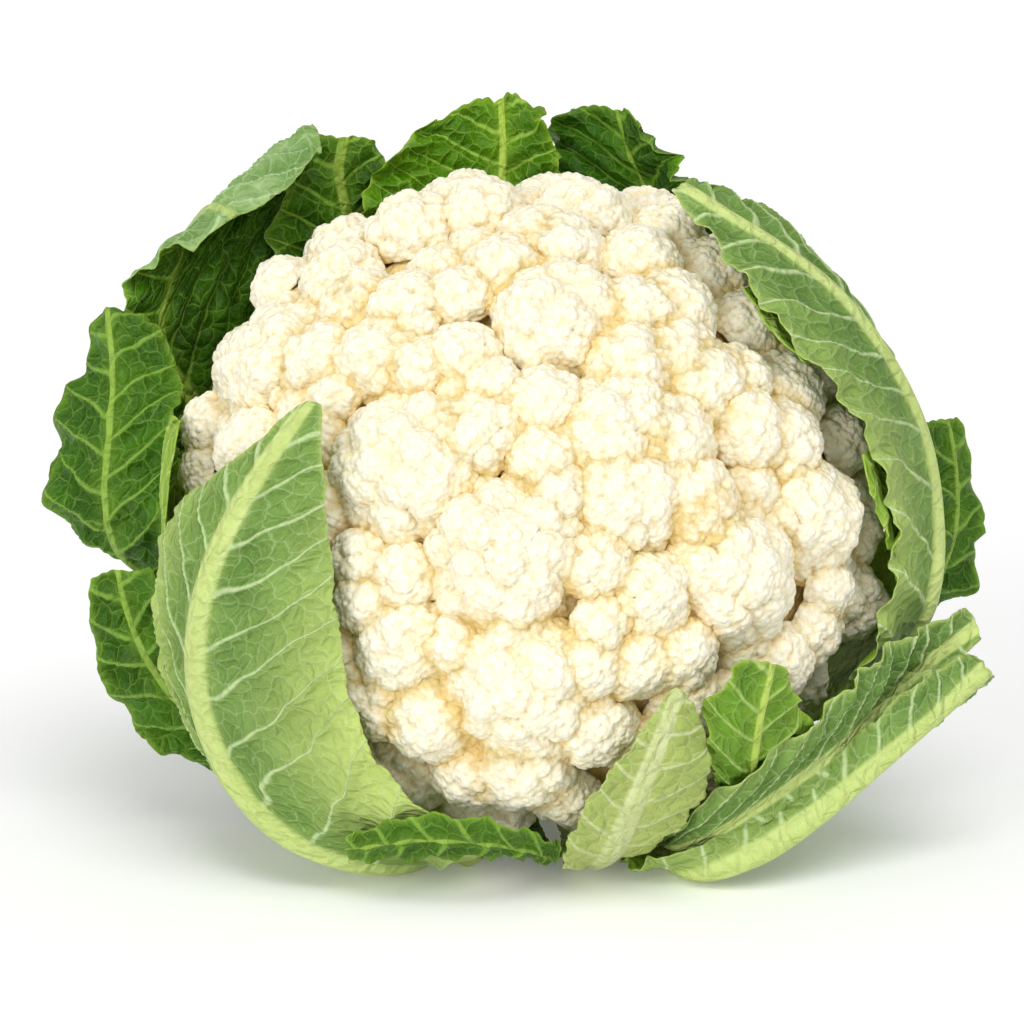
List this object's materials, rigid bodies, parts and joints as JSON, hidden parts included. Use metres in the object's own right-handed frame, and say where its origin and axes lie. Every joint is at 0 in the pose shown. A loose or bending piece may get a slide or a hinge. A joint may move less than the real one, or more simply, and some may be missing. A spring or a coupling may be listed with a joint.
{
  "type": "cauliflower",
  "caption": "Whole head of cauliflower: a cream-white curd of florets on its cut stalk, in a basket of ribbed green leaves trimmed and folded round it.",
  "frame": {"origin": "middle of the bounding box in plan, on the surface that the head lies on", "axes": "-Z down to the surface, -Y to the side that the curd faces, +X to the right as seen from there"},
  "size_m": [0.2325, 0.179, 0.1773],
  "materials": {
    "curd_flesh": "matte",
    "stalk_flesh": "satin",
    "leaf_green": "satin"
  },
  "bodies": {
    "root": {"curd": "curd_flesh", "stalk": "stalk_flesh", "leaf_bottom_rolled": "leaf_green", "leaf_front_left": "leaf_green", "leaf_left_lower": "leaf_green", "leaf_left_upper": "leaf_green", "leaf_lower_right_inner": "leaf_green", "leaf_lower_right_outer": "leaf_green", "leaf_right": "leaf_green", "leaf_right_wrap": "leaf_green", "leaf_small_dark": "leaf_green", "leaf_small_pale": "leaf_green", "leaf_top": "leaf_green", "leaf_top_left_inner": "leaf_green", "leaf_top_left_outer": "leaf_green", "leaf_top_right": "leaf_green", "young_leaf_left": "leaf_green", "young_leaf_right_lower": "leaf_green", "young_leaf_right_upper": "leaf_green"}
  },
  "joints": []
}
